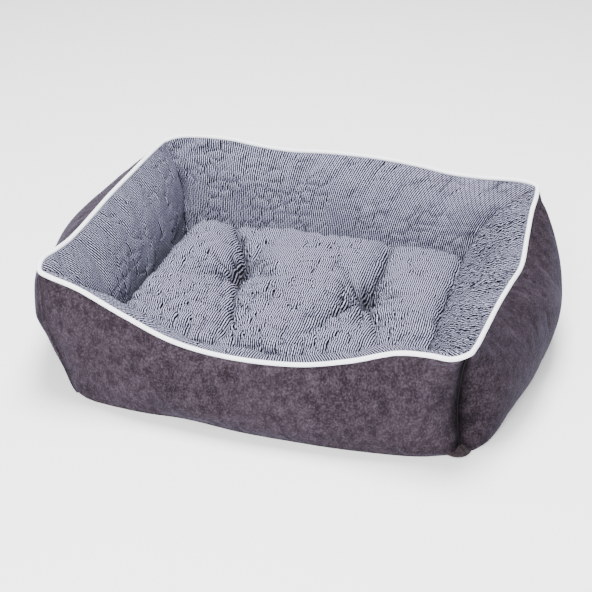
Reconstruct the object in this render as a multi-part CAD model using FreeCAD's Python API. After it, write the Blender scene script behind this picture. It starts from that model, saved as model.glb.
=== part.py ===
import FreeCAD, Part
import math
import os
from collections import namedtuple

# Rectangular bolster bed for a cat or small dog: four stuffed walls round a quilted floor,
# white piping on the rim, and a loose tufted cushion that lifts out. Millimetres, +Z up.
# The origin is the middle of the underside, +X runs along the length and -Y is the low front.

Vec = FreeCAD.Vector
os.makedirs("parts", exist_ok=True)

# ---- Driving dimensions ---------------------------------------------------------------
rim_length = 564.0            # piping centre to piping centre, along X
rim_depth = 422.0             # piping centre to piping centre, along Y
side_wall_slope = 60.0        # how far the side linings come in from the rim to the cushion
long_wall_slope = 39.0        # the same on the front and back walls
back_corner_height = 192.0    # piping centre above the floor at the two back corners
front_corner_height = 174.0
back_crown = 6.0              # how far the back rim rises between its corners
front_dip = 70.0              # how far the front rim drops for the pet to step in
front_dip_length = 430.0      # length of rim over which it drops

rim_corner_radius = 28.0
inner_corner_radius = 15.0
bulge_corner_radius = 55.0    # plan radius where the walls are fattest
base_corner_radius = 45.0
bulge_corner_reach = 45.0     # corner centres, measured outwards from the inner corner centre
base_corner_reach = 8.0
floor_corner_reach = 5.0
floor_corner_radius = 20.0
long_wall_bulge = 12.0        # extra swelling of the front and back walls between corners
side_wall_bulge = 47.0
long_base_bow = 20.0          # the same at the foot of the walls
side_base_bow = 30.0
outer_bulge_share = 0.45      # height of the fattest outer line, as a share of the rim height
inner_bulge_height = 72.0     # height at which the lining presses on the cushion

plush_thickness = 2.6
lining_thickness = 1.2
base_cloth_thickness = 1.5
wadding_thickness = 11.0
floor_cloth_thickness = 2.6
piping_diameter = 6.0
piping_tape_thickness = 0.7
rim_width = 7.4               # width of the wall's flat top under the piping
corner_seam_thickness = 1.2

cushion_clearance = 1.5       # between the cushion's widest line and the linings
cushion_thickness = 70.0
cushion_corner_radius = 46.0
cushion_cover_thickness = 1.2
tuft_places = ((-100.0, 24.0), (90.0, 2.0))
tuft_depth = 24.0
tuft_radius = 34.0
tuft_thread_diameter = 2.4
tuft_knot_diameter = 8.0
tuft_knot_height = 2.0

gap = 0.4                     # clearance between neighbouring soft layers
stuffing_gap = 1.0            # clearance between a wall's stuffing and its covers
piping_gap = 0.7              # clearance under the piping
seam_gap = 0.3                # clearance each side of a corner seam

# ---- Derived levels -------------------------------------------------------------------
foot_z = base_cloth_thickness + gap
wadding_z = base_cloth_thickness + gap
floor_cloth_z = wadding_z + wadding_thickness + gap
floor_top_z = floor_cloth_z + floor_cloth_thickness
cushion_z = floor_top_z + gap
piping_radius = piping_diameter / 2.0
inner_length = rim_length - 2 * side_wall_slope
inner_depth = rim_depth - 2 * long_wall_slope

# A level is one closed outline in plan: its four corner arcs have their centres on the mitre
# lines, at a reach outwards from the inner corner centre, and its sides may bow outwards.
Level = namedtuple("Level", "reach radius long_bow side_bow")
inner_centre = Vec(inner_length / 2 - inner_corner_radius, inner_depth / 2 - inner_corner_radius, 0)
rim_centre = Vec(rim_length / 2 - rim_corner_radius, rim_depth / 2 - rim_corner_radius, 0)
mitre = (rim_centre - inner_centre).normalize()
mitre_angle = math.atan2(mitre.y, mitre.x)

rim_level = Level((rim_centre - inner_centre).Length, rim_corner_radius, 0, 0)
bulge_level = Level(bulge_corner_reach, bulge_corner_radius, long_wall_bulge, side_wall_bulge)
base_level = Level(base_corner_reach, base_corner_radius, long_base_bow, side_base_bow)
inner_level = Level(0, inner_corner_radius, 0, 0)
floor_level = Level(floor_corner_reach, floor_corner_radius, 0, 0)

# A wall: its name, outward direction, direction along it, and whether it is a long one.
Wall = namedtuple("Wall", "name out along is_long")
walls = (
    Wall("front", Vec(0, -1, 0), Vec(1, 0, 0), True),
    Wall("right", Vec(1, 0, 0), Vec(0, 1, 0), False),
    Wall("back", Vec(0, 1, 0), Vec(-1, 0, 0), True),
    Wall("left", Vec(-1, 0, 0), Vec(0, -1, 0), False),
)
# Stations along a wall: -1 to 1 is its straight part, and 1 to 2 is half of a corner.
half_of_long = (0.2, 0.4, 0.6, 0.75, 0.9, 1, 1.33, 1.66, 2)
half_of_side = (0.35, 0.7, 1, 1.5, 2)


def grown(level, amount):
    """The same outline, moved outwards by an amount."""
    return level._replace(radius=level.radius + amount)


def stations_of(wall):
    half = half_of_long if wall.is_long else half_of_side
    return [-station for station in reversed(half)] + [0] + list(half)


def plan_point(wall, station, level):
    """The point of a level's outline at a station of a wall, at height 0."""
    centre = inner_centre + mitre * level.reach
    straight, across = (centre.x, centre.y) if wall.is_long else (centre.y, centre.x)
    bow = level.long_bow if wall.is_long else level.side_bow
    turn = math.pi / 2 - mitre_angle if wall.is_long else mitre_angle
    side = math.copysign(1, station)
    if abs(station) <= 1:
        along = station * straight
        out = across + level.radius + bow * (1 - station ** 4) ** 2
    else:
        angle = (abs(station) - 1) * turn
        along = side * (straight + level.radius * math.sin(angle))
        out = across + level.radius * math.cos(angle)
    return wall.along * along + wall.out * out


def plan_normal(wall, station):
    """The outward direction in plan, which turns along the corner arcs."""
    turn = math.pi / 2 - mitre_angle if wall.is_long else mitre_angle
    angle = math.copysign(max(0.0, abs(station) - 1) * turn, station)
    return wall.out * math.cos(angle) + wall.along * math.sin(angle)


def rim_height(wall, station):
    """Height of the piping's centre at a station of a wall."""
    if wall.name == "front":
        along = plan_point(wall, station, rim_level).x
        share = min(1.0, abs(along) / (front_dip_length / 2))
        return front_corner_height - front_dip * (1 + math.cos(math.pi * share)) / 2
    if wall.name == "back":
        share = min(1.0, abs(station))
        return back_corner_height + back_crown * (1 - share ** 2) ** 2
    forward = station if wall.name == "right" else -station
    share = (max(-1.0, min(1.0, forward)) + 1) / 2
    smooth = share * share * (3 - 2 * share)
    return front_corner_height + (back_corner_height - front_corner_height) * smooth


def rim_point(wall, station):
    """The piping's centre at a station of a wall."""
    return plan_point(wall, station, rim_level) + Vec(0, 0, rim_height(wall, station))


def seat_height(wall, station):
    """Height of the wall's flat top, which clears the piping where the rim slopes too."""
    step = 0.01
    run = rim_point(wall, station + step) - rim_point(wall, station - step)
    slope = run.z / math.hypot(run.x, run.y)
    return rim_height(wall, station) - (piping_radius + piping_gap) * math.hypot(1, slope)


def blend(first, second, share):
    return first * (1 - share) + second * share


def outer_profile(wall, station):
    """Points up the wall's outside, from its foot over the bulge to the rim."""
    top = seat_height(wall, station)
    middle = top * outer_bulge_share
    foot = plan_point(wall, station, base_level)
    bulge = plan_point(wall, station, bulge_level)
    rim = plan_point(wall, station, grown(rim_level, rim_width / 2))
    points = []
    for angle in (0, 30, 60, 90):
        turn = math.radians(angle)
        place = blend(foot, bulge, math.sin(turn))
        points.append(place + Vec(0, 0, middle - (middle - foot_z) * math.cos(turn)))
    last = math.radians(62)
    for share in (1 / 3, 2 / 3, 1):
        turn = last * share
        place = blend(bulge, rim, (1 - math.cos(turn)) / (1 - math.cos(last)))
        points.append(place + Vec(0, 0, blend(middle, top, math.sin(turn) / math.sin(last))))
    return points


def inner_profile(wall, station):
    """Points up the wall's inside, from the floor cloth to the rim."""
    top = seat_height(wall, station)
    middle = min(inner_bulge_height, top * 0.7)
    foot = plan_point(wall, station, floor_level)
    press = plan_point(wall, station, inner_level)
    rim = plan_point(wall, station, grown(rim_level, -rim_width / 2))
    points = []
    for angle in (0, 45, 90):
        turn = math.radians(angle)
        place = blend(foot, press, math.sin(turn))
        points.append(place + Vec(0, 0, middle - (middle - floor_top_z) * math.cos(turn)))
    last = math.radians(50)
    for share in (1 / 3, 2 / 3, 1):
        turn = last * share
        place = blend(press, rim, (1 - math.cos(turn)) / (1 - math.cos(last)))
        points.append(place + Vec(0, 0, blend(middle, top, math.sin(turn) / math.sin(last))))
    return points


def inset(points, wall, station, distance):
    """A profile moved so that its surface lies a distance further in, or out where it is negative."""
    across = plan_point(wall, station, rim_level) - plan_point(wall, station, inner_level)
    across.normalize()
    # The section is cut obliquely near the corners, so a layer looks thicker there
    squareness = across.dot(plan_normal(wall, station))
    flat = [(point.dot(across), point.z) for point in points]
    moved = []
    for index, point in enumerate(points):
        before = flat[max(index - 1, 0)]
        after = flat[min(index + 1, len(flat) - 1)]
        run, rise = after[0] - before[0], after[1] - before[1]
        square = math.hypot(run * squareness, rise) / squareness / (run * run + rise * rise)
        moved.append(point - across * (rise * square * distance) + Vec(0, 0, run * square * distance))
    # The foot rises by the layer below it, and the rim stays at its own height
    moved[0].z = points[0].z + abs(distance)
    moved[-1].z = points[-1].z
    return moved


def spline(points):
    curve = Part.BSplineCurve()
    curve.interpolate(points)
    return curve.toShape()


def line(start, end):
    return Part.LineSegment(start, end).toShape()


def layer_section(outer, inner):
    """A closed wire between two profiles that both run from foot to rim."""
    edges = [spline(outer), line(outer[-1], inner[-1]), spline(inner[::-1]), line(inner[0], outer[0])]
    return Part.Wire(edges)


def fill_section(outer, inner):
    """The fill's closed wire: it stands on the base cloth, beside the wadding."""
    heel = Vec(inner[0].x, inner[0].y, outer[0].z)
    edges = [spline(outer), line(outer[-1], inner[-1]), spline(inner[::-1]),
             line(inner[0], heel), line(heel, outer[0])]
    return Part.Wire(edges)


def end_cutter(sign_x, sign_y, half_width):
    """A thin upright plate in the mitre plane of one corner, from inside the walls outwards."""
    start = Vec(inner_centre.x * sign_x, inner_centre.y * sign_y, -1)
    along = Vec(mitre.x * sign_x, mitre.y * sign_y, 0)
    side = Vec(-along.y, along.x, 0) * half_width
    end = start + along * rim_length
    face = Part.Face(Part.makePolygon([start - side, end - side, end + side, start + side, start - side]))
    return face.extrude(Vec(0, 0, back_corner_height * 2))


corner_signs = (("front_left", -1, -1), ("front_right", 1, -1), ("back_right", 1, 1), ("back_left", -1, 1))


def trimmed(solid):
    """A wall layer with room left at its ends for the corner seams."""
    for _, sign_x, sign_y in corner_signs:
        solid = solid.cut(end_cutter(sign_x, sign_y, corner_seam_thickness / 2 + seam_gap))
    return max(solid.Solids, key=lambda piece: piece.Volume)


def wall_layers(wall):
    """The outer panel, the stuffing and the lining of one wall."""
    panels, fills, linings = [], [], []
    for station in stations_of(wall):
        outer, inner = outer_profile(wall, station), inner_profile(wall, station)
        panels.append(layer_section(outer, inset(outer, wall, station, plush_thickness)))
        linings.append(layer_section(inset(inner, wall, station, -lining_thickness), inner))
        fills.append(fill_section(inset(outer, wall, station, plush_thickness + stuffing_gap),
                                  inset(inner, wall, station, -lining_thickness - stuffing_gap)))
    return [trimmed(Part.makeLoft(wires, True)) for wires in (panels, fills, linings)]


def corner_seam(sign_x, sign_y):
    """The strip where two walls' covers are sewn together, in the mitre plane of a corner."""
    wall = walls[0] if sign_y < 0 else walls[2]
    station = 2.0 if (sign_x < 0) == (sign_y > 0) else -2.0
    outer = inset(outer_profile(wall, station), wall, station, gap)
    inner = inset(inner_profile(wall, station), wall, station, -gap)
    face = Part.Face(fill_section(outer, inner))
    side = Vec(-mitre.y * sign_y, mitre.x * sign_x, 0) * (corner_seam_thickness / 2)
    face.translate(side * -1)
    return face.extrude(side * 2)


def outline(level, height):
    """A level's closed outline as one wire, at a height."""
    edges = []
    for wall in walls:
        points = [plan_point(wall, station, level) + Vec(0, 0, height) for station in stations_of(wall)]
        edges.append(spline(points))
    return Part.Wire(edges)


def slab(level, bottom, thickness):
    return Part.Face(outline(level, bottom)).extrude(Vec(0, 0, thickness))


def rim_section(wall, station, radius):
    """A circle across the rim at a station of a wall; the end ones lie in the mitre planes."""
    step = 0.01
    tangent = rim_point(wall, station + step) - rim_point(wall, station - step)
    outward = tangent.cross(Vec(0, 0, 1))
    if abs(station) == 2:
        outward = plan_point(wall, station, bulge_level) - plan_point(wall, station, inner_level)
        tangent = Vec(0, 0, 1).cross(outward)
    circle = Part.Circle(rim_point(wall, station), tangent, radius)
    circle.XAxis = outward.normalize()
    return Part.Wire(circle.toShape())


def rim_loop(radius):
    """A ring of round section along the whole rim, one length for each wall."""
    sides = []
    for wall in walls:
        sections = [rim_section(wall, station, radius) for station in stations_of(wall)]
        sides.append(Part.makeLoft(sections, True))
    return sides[0].fuse(sides[1:])


def cushion_outline(shrink, height):
    """A rounded rectangle that is smaller than the cushion's widest line by a margin."""
    half_x = inner_length / 2 - cushion_clearance - shrink
    half_y = inner_depth / 2 - cushion_clearance - shrink
    radius = max(cushion_corner_radius - shrink * 0.5, 12.0)
    plate = Part.makePlane(2 * half_x, 2 * half_y, Vec(-half_x, -half_y, height))
    box = plate.extrude(Vec(0, 0, 1))
    uprights = [edge for edge in box.Edges if abs(edge.tangentAt(edge.FirstParameter).z) > 0.9]
    rounded = box.makeFillet(radius, uprights)
    low = min(rounded.Faces, key=lambda face: face.CenterOfMass.z)
    return low.OuterWire


def pillow(skin):
    """The cushion's crowned body, made smaller all round by a skin's thickness."""
    half = cushion_thickness / 2
    middle = cushion_z + half
    # Share of the half height, and how far the outline has drawn in there
    shape = ((-1.0, 62), (-0.94, 34), (-0.72, 12), (-0.4, 2.5), (0, 0),
             (0.4, 2.5), (0.72, 12), (0.94, 34), (1.0, 62))
    wires = [cushion_outline(shrink + skin, middle + share * (half - skin)) for share, shrink in shape]
    return Part.makeLoft(wires, True)


def tuft_pit(place, skin):
    """The round hollow that a tuft's stitch pulls into the top of the cushion."""
    top = cushion_z + cushion_thickness + 1
    floor = cushion_z + cushion_thickness - tuft_depth
    profile = [Vec(0, 0, floor - skin), Vec(tuft_knot_diameter / 2 + skin, 0, floor - skin),
               Vec(tuft_radius * 0.45 + skin, 0, floor + tuft_depth * 0.62),
               Vec(tuft_radius + skin, 0, top), Vec(0, 0, top)]
    face = Part.Face(Part.makePolygon(profile + profile[:1]))
    pit = face.revolve(Vec(0, 0, 0), Vec(0, 0, 1), 360)
    pit.translate(Vec(place[0], place[1], 0))
    return pit


def dimpled_pillow(skin):
    body = pillow(skin)
    for place in tuft_places:
        body = body.cut(tuft_pit(place, skin))
    return body


def half_space(upper, middle):
    """A block that holds everything above, or everything below, the cushion's edge seam."""
    size = rim_length * 2
    bottom = middle if upper else middle - size
    return Part.makeBox(size, size, size, Vec(-size / 2, -size / 2, bottom))


def cushion_pieces():
    """Both covers and the filling, sewn through at the tufts."""
    middle = cushion_z + cushion_thickness / 2
    skin = dimpled_pillow(0).cut(dimpled_pillow(cushion_cover_thickness))
    fill = dimpled_pillow(cushion_cover_thickness + gap)
    holes = []
    for place in tuft_places:
        radius = tuft_thread_diameter / 2 + gap
        base = Vec(place[0], place[1], cushion_z - 1)
        holes.append(Part.makeCylinder(radius, cushion_thickness, base))
    for hole in holes:
        skin, fill = skin.cut(hole), fill.cut(hole)
    top = skin.common(half_space(True, middle + gap / 4))
    bottom = skin.common(half_space(False, middle - gap / 4))
    return top, bottom, fill


def tuft_stitch(place):
    """A tied thread through the cushion: the shank, and the small knot in the hollow."""
    floor = cushion_z + cushion_thickness - tuft_depth
    start = cushion_z + gap
    shank = Part.makeCylinder(tuft_thread_diameter / 2, floor + gap + 0.2 - start,
                              Vec(place[0], place[1], start))
    knot = Part.makeCylinder(tuft_knot_diameter / 2 - gap, tuft_knot_height,
                             Vec(place[0], place[1], floor + gap))
    return shank.fuse(knot).removeSplitter()


# ---- Build ----------------------------------------------------------------------------
nodes = {}
for each in walls:
    panel, stuffing, lining = wall_layers(each)
    nodes[each.name + "_outer_panel"] = panel
    nodes[each.name + "_bolster_fill"] = stuffing
    nodes[each.name + "_lining"] = lining
for corner, x_sign, y_sign in corner_signs:
    nodes[corner + "_corner_seam"] = corner_seam(x_sign, y_sign)

piping_bore = piping_radius - piping_tape_thickness
nodes["rim_piping"] = rim_loop(piping_radius).cut(rim_loop(piping_bore))
nodes["rim_piping_cord"] = rim_loop(piping_bore - gap / 4)

nodes["base_cloth"] = slab(base_level, 0, base_cloth_thickness)
nodes["base_wadding"] = slab(grown(floor_level, -lining_thickness), wadding_z, wadding_thickness)
nodes["floor_cloth"] = slab(grown(floor_level, -lining_thickness), floor_cloth_z, floor_cloth_thickness)

cushion_top, cushion_bottom, cushion_stuffing = cushion_pieces()
nodes["cushion_top_panel"] = cushion_top
nodes["cushion_bottom_panel"] = cushion_bottom
nodes["cushion_fill"] = cushion_stuffing
for side_name, tuft_place in zip(("left", "right"), tuft_places):
    nodes[side_name + "_tuft_stitch"] = tuft_stitch(tuft_place)

for node, shape in nodes.items():
    shape.exportStep("parts/" + node + ".step")
    box = shape.optimalBoundingBox()
    print(f"{node:24s} solids {len(shape.Solids)} valid {shape.isValid()} "
          f"volume {shape.Volume / 1000:9.1f} cm3  z {box.ZMin:6.1f} to {box.ZMax:6.1f}  "
          f"size {box.XLength:6.1f} {box.YLength:6.1f} {box.ZLength:6.1f}")
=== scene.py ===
"""A pet cushion bed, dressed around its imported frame: stuffed walls, piping and a loose cushion.

Metres throughout, +Z up, the low front step towards -Y.
"""
import logging
import math
from dataclasses import dataclass, field
from enum import Enum
from typing import Callable

import bpy
import numpy as np
from bpy.types import Material, Mesh, Node, NodeSocket, Object
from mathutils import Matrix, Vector


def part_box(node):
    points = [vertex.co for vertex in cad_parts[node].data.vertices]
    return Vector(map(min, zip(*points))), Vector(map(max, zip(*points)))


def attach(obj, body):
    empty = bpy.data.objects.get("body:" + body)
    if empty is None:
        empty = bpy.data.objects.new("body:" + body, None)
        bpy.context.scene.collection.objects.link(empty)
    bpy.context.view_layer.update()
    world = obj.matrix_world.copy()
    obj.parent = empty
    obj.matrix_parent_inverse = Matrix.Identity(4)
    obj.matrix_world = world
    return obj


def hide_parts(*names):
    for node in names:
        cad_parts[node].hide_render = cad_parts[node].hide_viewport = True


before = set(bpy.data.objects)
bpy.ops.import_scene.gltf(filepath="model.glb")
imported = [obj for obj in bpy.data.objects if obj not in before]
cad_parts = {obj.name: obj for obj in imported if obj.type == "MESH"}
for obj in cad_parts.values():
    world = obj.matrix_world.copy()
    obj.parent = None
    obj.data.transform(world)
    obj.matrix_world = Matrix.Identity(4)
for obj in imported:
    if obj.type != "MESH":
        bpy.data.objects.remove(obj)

LOG = logging.getLogger("cushion_bed")
MM = 0.001
CLOTH_MAP = "cloth"
# The point attribute that holds painted shade, from 0 to 1
SHADE_MARK = "crease"
# The random tables repeat after this many lumps or cells
TABLE = 64
Array = np.ndarray
Point = tuple[float, float, float]
PlanPoint = tuple[float, float]


# ---- Shader maths -----------------------------------------------------------------------
def joins(operation: str, turned: bool = False) -> Callable[..., "Value"]:
    """A method of Value that adds one Math node; turned puts the other number first."""
    def join(*values: "Number") -> "Value":
        """Adds the node."""
        return values[0].book.maths(operation, *(values[::-1] if turned else values))
    return join


class Value:
    """A number in a material that Python's own operators work on."""

    def __init__(self, book: "Shader", socket: NodeSocket) -> None:
        """Wraps the output socket, in a material's node book, that holds the number."""
        self.book = book
        self.socket = socket

    __add__ = __radd__ = joins("ADD")
    __sub__ = joins("SUBTRACT")
    __rsub__ = joins("SUBTRACT", turned=True)
    __mul__ = __rmul__ = joins("MULTIPLY")
    __truediv__ = joins("DIVIDE")
    floor = joins("FLOOR")
    fraction = joins("FRACT")
    absolute = joins("ABSOLUTE")

    def band(self, low: float, high: float) -> "Value":
        """A smooth rise from 0 at low to 1 at high, or a fall where low is the larger.

        Args:
            low: where the result is 0.
            high: where the result is 1.

        Returns:
            The share of the way.
        """
        first, last, start, end = (low, high, 0.0, 1.0) if low < high else (high, low, 1.0, 0.0)
        node = self.book.node("ShaderNodeMapRange", {"interpolation_type": "SMOOTHSTEP"},
                              {0: self, 1: first, 2: last, 3: start, 4: end})
        return Value(self.book, node.outputs[0])


Number = Value | float | int


class Shader:
    """One material's node tree, with a single way to add each kind of node."""

    def __init__(self, name: str) -> None:
        """Starts a material with a Principled shader on its output.

        Args:
            name: the material's name.
        """
        self.material = bpy.data.materials.new(name)
        self.material.use_nodes = True
        self.tree = self.material.node_tree
        self.tree.nodes.clear()
        self.output = self.node("ShaderNodeOutputMaterial", {}, {})
        self.skin = self.node("ShaderNodeBsdfPrincipled", {}, {})
        self.tree.links.new(self.skin.outputs[0], self.output.inputs["Surface"])

    def node(self, kind: str, settings: dict, inputs: dict) -> Node:
        """Adds one node.

        Args:
            kind: the node's type name.
            settings: its own settings, set before its sockets.
            inputs: socket name or number to a value, a link or a node's socket.

        Returns:
            The new node.
        """
        node = self.tree.nodes.new(kind)
        for name, value in settings.items():
            setattr(node, name, value)
        for key, value in inputs.items():
            self.feed(node.inputs[key], value)
        return node

    def feed(self, socket: NodeSocket, value: object) -> None:
        """Links a value or a node's socket to a socket, or sets the socket to a plain value."""
        source = value.socket if isinstance(value, Value) else value
        if isinstance(source, NodeSocket):
            self.tree.links.new(source, socket)
        else:
            socket.default_value = source

    def maths(self, operation: str, *values: Number) -> Value:
        """Adds one Math node and returns its result."""
        node = self.node("ShaderNodeMath", {"operation": operation}, dict(enumerate(values)))
        return Value(self, node.outputs[0])

    def coordinates(self) -> NodeSocket:
        """The piece's own coordinates, in metres."""
        return self.node("ShaderNodeTexCoord", {}, {}).outputs["Object"]

    def cloth_place(self) -> NodeSocket:
        """The place on the flat cloth, in metres, from the piece's own map."""
        return self.node("ShaderNodeUVMap", {"uv_map": CLOTH_MAP}, {}).outputs[0]

    def crease(self) -> Value:
        """How much painted shade a place gets, from 0 to 1, from the shade marks."""
        node = self.node("ShaderNodeAttribute", {"attribute_name": SHADE_MARK}, {})
        return Value(self, node.outputs["Fac"])

    def split(self, vector: NodeSocket) -> tuple[Value, Value, Value]:
        """The three numbers of a vector."""
        node = self.node("ShaderNodeSeparateXYZ", {}, {0: vector})
        return tuple(Value(self, output) for output in node.outputs)

    def joined(self, x: Number, y: Number, z: Number) -> NodeSocket:
        """A vector from three numbers."""
        return self.node("ShaderNodeCombineXYZ", {}, {0: x, 1: y, 2: z}).outputs[0]

    def noise(self, place: NodeSocket, size: float, detail: float = 2.0) -> Value:
        """Soft noise from 0 to 1.

        Args:
            place: the coordinates to read.
            size: how far apart its lumps are, in metres.
            detail: how many finer layers it has.

        Returns:
            The noise.
        """
        node = self.node("ShaderNodeTexNoise", {}, {"Vector": place, "Scale": 1.0 / size, "Detail": detail})
        return Value(self, node.outputs[0])

    def mixed(self, share: Number, first: tuple | NodeSocket, last: tuple | NodeSocket) -> NodeSocket:
        """A colour between two colours."""
        return self.node("ShaderNodeMix", {"data_type": "RGBA"}, {0: share, 6: first, 7: last}).outputs[2]

    def bump(self, height: Value, distance: float) -> NodeSocket:
        """A normal from a height from 0 to 1, where 1 means a distance in metres."""
        return self.node("ShaderNodeBump", {}, {"Height": height, "Distance": distance}).outputs[0]

    def paint_shade(self, share: Value, colour: tuple) -> None:
        """Lays painted shade over the main finish: a dark diffuse shader without sheen.

        Args:
            share: how much of it shows, from 0 to 1.
            colour: its colour.
        """
        dull = self.node("ShaderNodeBsdfDiffuse", {}, {"Color": colour})
        both = self.node("ShaderNodeMixShader", {}, {0: share, 1: self.skin.outputs[0], 2: dull.outputs[0]})
        self.tree.links.new(both.outputs[0], self.output.inputs["Surface"])

    def dress(self, **sockets: object) -> Material:
        """Sets the Principled shader's sockets; an underscore stands for a space.

        Args:
            sockets: socket name to value or link.

        Returns:
            The finished material.
        """
        for name, value in sockets.items():
            self.feed(self.skin.inputs[name.replace("_", " ")], value)
        return self.material


def tone(red: float, green: float, blue: float) -> tuple[float, float, float, float]:
    """A colour for a shader from display values between 0 and 1."""
    return tuple(part ** 2.2 for part in (red, green, blue)) + (1.0,)


# ---- Finishes ---------------------------------------------------------------------------
@dataclass(frozen=True)
class DashedLining:
    """Striped cloth: upright rows of pale dashes on a dark ground, each row half a dash on."""

    row: float = 3.0 * MM
    dash: float = 6.5 * MM
    pale: tuple = tone(0.68, 0.68, 0.80)
    bright: tuple = tone(0.76, 0.76, 0.865)
    dark: tuple = tone(0.02, 0.02, 0.04)
    worn: tuple = tone(0.05, 0.05, 0.08)
    # The painted shade colour, for creases, seams and shaded walls
    painted_shade: tuple = tone(0.03, 0.028, 0.045)

    def material(self) -> Material:
        """Builds the cloth's material.

        Returns:
            The material.
        """
        book = Shader("dashed_lining")
        place = book.cloth_place()
        along, up, _ = book.split(place)
        drift = book.noise(place, 34 * MM, 3.0) - 0.5
        rows = along / self.row + drift * 1.1
        across = (rows.fraction() - 0.5).absolute()
        offset = (rows.floor() * 0.5).fraction()
        steps = (up / self.dash + offset + drift * 0.8).fraction()
        length = (steps - 0.5).absolute()
        fray = book.noise(place, 1.8 * MM) - 0.5
        width = (across + fray * 0.16).band(0.26, 0.08)
        extent = (length + fray * 0.20).band(0.49, 0.36) * 0.82 + 0.18
        thread = width * extent
        wear = book.noise(place, 22 * MM, 3.0)
        ground = book.mixed(wear, self.dark, self.worn)
        light = book.mixed(wear, self.pale, self.bright)
        cloth = book.mixed(thread, ground, light)
        # Painted shade where the shade marks say
        colour = book.mixed(book.crease() * 0.85, cloth, self.painted_shade)
        normal = book.bump(thread + fray * 0.5, 0.5 * MM)
        return book.dress(Base_Color=colour, Roughness=0.88, Normal=normal, Specular_IOR_Level=0.1)


@dataclass(frozen=True)
class BrushedPlush:
    """Short-pile plush: dark purple-grey, mottled where the pile was stroked."""

    name: str = "brushed_plush"
    deep: tuple = tone(0.125, 0.101, 0.123)
    body: tuple = tone(0.186, 0.156, 0.182)
    stroked: tuple = tone(0.350, 0.312, 0.352)
    # The painted shade colour, for creases, seams and shaded walls
    painted_shade: tuple = tone(0.045, 0.04, 0.045)

    def material(self) -> Material:
        """Builds the plush material.

        Returns:
            The material.
        """
        book = Shader(self.name)
        place = book.coordinates()
        x, y, z = book.split(place)
        # The pile lies up and down the wall, so its marks are taller than wide
        stroke = book.joined(x, y, z * 0.75)
        broad = book.noise(place, 75 * MM)
        patch = book.noise(stroke, 10.5 * MM, 5.0)
        pile = book.noise(stroke, 2.4 * MM, 3.0)
        grain = book.noise(place, 1.1 * MM)
        nap = (broad * 0.4 + patch * 0.6).band(0.32, 0.68)
        shade = book.mixed(nap, self.deep, self.body)
        tips = (pile * 0.50 + patch * 0.18 + grain * 0.32).band(0.43, 0.67)
        shade = book.mixed(tips * 0.48, shade, self.stroked)
        # Painted shade: a dark sheenless finish where the shade marks say
        book.paint_shade(book.crease() * 0.92, self.painted_shade)
        height = pile * 0.5 + patch * 0.25 + grain * 0.25
        normal = book.bump(height, 1.5 * MM)
        return book.dress(Base_Color=shade, Roughness=0.95, Normal=normal, Sheen_Weight=0.18,
                          Sheen_Roughness=0.35, Sheen_Tint=tone(0.62, 0.60, 0.72), Specular_IOR_Level=0.1)


@dataclass(frozen=True)
class PipingTape:
    """White bias tape with a fine weave, slightly shaded where it was handled."""

    def material(self) -> Material:
        """Builds the tape's material.

        Returns:
            The material.
        """
        book = Shader("piping_tape")
        place = book.coordinates()
        fine = book.noise(place, 0.9 * MM)
        soft = book.noise(place, 25 * MM)
        colour = book.mixed(soft, tone(0.95, 0.955, 0.985), tone(0.985, 0.99, 1.0))
        return book.dress(Base_Color=colour, Roughness=0.75, Normal=book.bump(fine, 0.25 * MM),
                          Sheen_Weight=0.1, Specular_IOR_Level=0.3)


@dataclass(frozen=True)
class PlainCloth:
    """A plain cloth or fibre in one colour range, with a visible tooth."""

    name: str
    dark: tuple
    pale: tuple
    grain: float = 1.5 * MM
    depth: float = 0.5 * MM

    def material(self) -> Material:
        """Builds the material.

        Returns:
            The material.
        """
        book = Shader(self.name)
        place = book.coordinates()
        tooth = book.noise(place, self.grain, 3.0)
        soft = book.noise(place, self.grain * 14, 3.0)
        colour = book.mixed(tooth * 0.5 + soft * 0.5, self.dark, self.pale)
        return book.dress(Base_Color=colour, Roughness=0.9, Normal=book.bump(tooth, self.depth),
                          Specular_IOR_Level=0.2)


# ---- Curves and grids -------------------------------------------------------------------
def through(points: list[Point], per_span: int) -> Array:
    """A smooth open curve through chosen points, as closely spaced places.

    Args:
        points: the chosen points.
        per_span: how many places each span gets.

    Returns:
        The places, one row each, with the last point.
    """
    knots = np.array(points, float)
    padded = np.vstack([2 * knots[0] - knots[1], knots, 2 * knots[-1] - knots[-2]])
    places = []
    for index in range(1, len(padded) - 2):
        before, start, end, after = padded[index - 1:index + 3]
        # Centripetal spacing keeps tight corners free of loops
        times = np.cumsum([0.0] + [max(np.linalg.norm(b - a), 1e-9) ** 0.5
                                   for a, b in ((before, start), (start, end), (end, after))])
        share = np.linspace(times[1], times[2], per_span, endpoint=False)[:, None]
        first = lerp_at(before, start, times[0], times[1], share)
        second = lerp_at(start, end, times[1], times[2], share)
        third = lerp_at(end, after, times[2], times[3], share)
        near = lerp_at(first, second, times[0], times[2], share)
        far = lerp_at(second, third, times[1], times[3], share)
        places.append(lerp_at(near, far, times[1], times[2], share))
    return np.vstack(places + [knots[-1:]])


def between(first: Array | float, last: Array | float, share: Array) -> Array:
    """The straight blend from first to last."""
    return first * (1 - share) + last * share


def lerp_at(first: Array, last: Array, start: float, end: float, time: Array) -> Array:
    """The straight blend from first at start to last at end, at a time."""
    return between(first, last, (time - start) / (end - start))


def along_curve(curve: Array, shares: Array) -> Array:
    """Places on a curve at shares of its length.

    Args:
        curve: closely spaced places.
        shares: shares of the length, from 0 to 1.

    Returns:
        One place per share.
    """
    steps = np.linalg.norm(np.diff(curve, axis=0), axis=1)
    reach = np.concatenate([[0.0], np.cumsum(steps)])
    return np.stack([np.interp(shares * reach[-1], reach, curve[:, axis]) for axis in range(3)], axis=1)


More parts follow.
